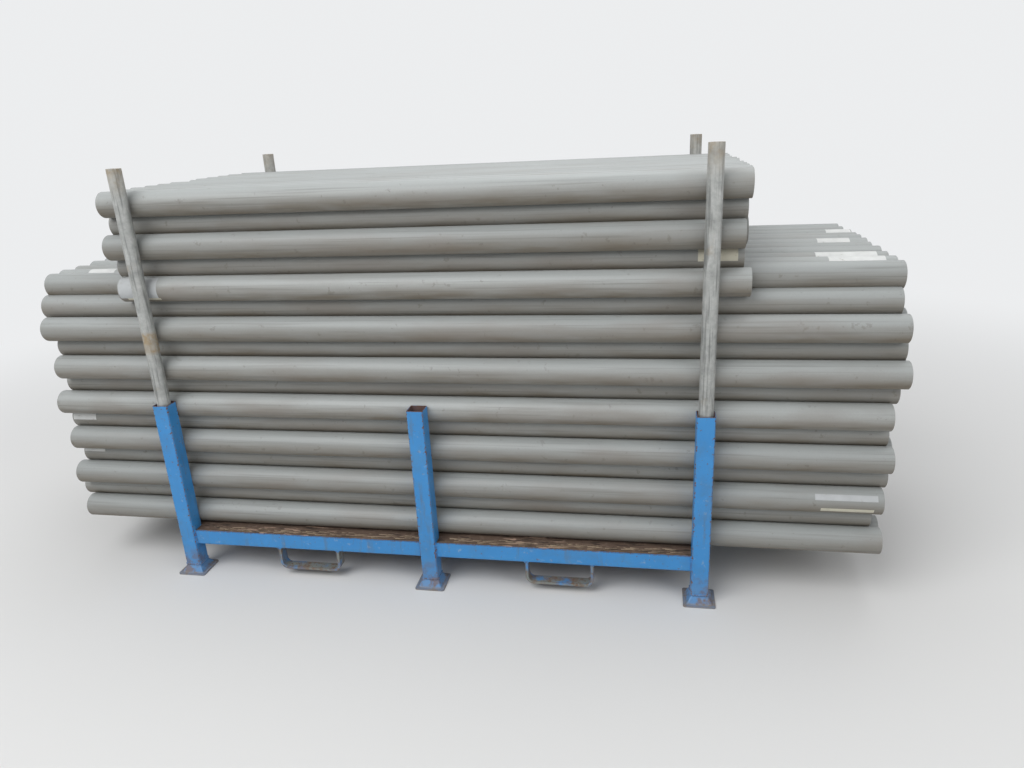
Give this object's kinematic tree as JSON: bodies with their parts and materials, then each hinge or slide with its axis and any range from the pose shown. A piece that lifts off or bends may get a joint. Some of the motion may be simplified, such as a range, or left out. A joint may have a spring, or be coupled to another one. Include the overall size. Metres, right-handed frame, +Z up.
{
  "type": "stack of pvc drain pipes",
  "caption": "Stack of grey PVC drain pipes, long ones below and short ones on top, nested in a blue steel stillage with round galvanised posts, timber deck and fork loops.",
  "frame": {"origin": "middle of the whole stack on the floor, at the bottom centre of its bounding box", "axes": "+X along the pipes, to the right as seen from the front; +Y from the front of the frame to its rear; +Z up"},
  "size_m": [3.076, 1.182, 1.535],
  "materials": {
    "pvc_grey": "matt, weathered",
    "blue_paint": "painted, chipped and scuffed",
    "galvanised": "dull galvanised with rust",
    "timber": "rough sawn, weathered"
  },
  "bodies": {
    "root": {"cross_rail_left": "blue_paint", "cross_rail_middle": "blue_paint", "cross_rail_right": "blue_paint", "deck_plank_1": "timber", "deck_plank_2": "timber", "deck_plank_3": "timber", "deck_plank_4": "timber", "deck_plank_5": "timber", "deck_plank_6": "timber", "foot_front_left": "blue_paint", "foot_front_middle": "blue_paint", "foot_front_right": "blue_paint", "foot_rear_left": "blue_paint", "foot_rear_middle": "blue_paint", "foot_rear_right": "blue_paint", "fork_loop_front_left": "blue_paint", "fork_loop_front_right": "blue_paint", "fork_loop_rear_left": "blue_paint", "fork_loop_rear_right": "blue_paint", "pipes_layer_01": "pvc_grey", "pipes_layer_02": "pvc_grey", "pipes_layer_03": "pvc_grey", "pipes_layer_04": "pvc_grey", "pipes_layer_05": "pvc_grey", "pipes_layer_06": "pvc_grey", "pipes_layer_07": "pvc_grey", "pipes_layer_08": "pvc_grey", "pipes_layer_09": "pvc_grey", "pipes_layer_10": "pvc_grey", "pipes_layer_11": "pvc_grey", "pipes_layer_12": "pvc_grey", "pipes_layer_13": "pvc_grey", "pipes_layer_14": "pvc_grey", "pipes_layer_15": "pvc_grey", "pipes_layer_16": "pvc_grey", "pipes_layer_17": "pvc_grey", "post_front_left": "galvanised", "post_front_right": "galvanised", "post_rear_left": "galvanised", "post_rear_right": "galvanised", "rail_front_left": "blue_paint", "rail_front_right": "blue_paint", "rail_rear_left": "blue_paint", "rail_rear_right": "blue_paint", "socket_front_left": "blue_paint", "socket_front_right": "blue_paint", "socket_rear_left": "blue_paint", "socket_rear_right": "blue_paint", "stub_front": "blue_paint", "stub_rear": "blue_paint"}
  },
  "joints": []
}
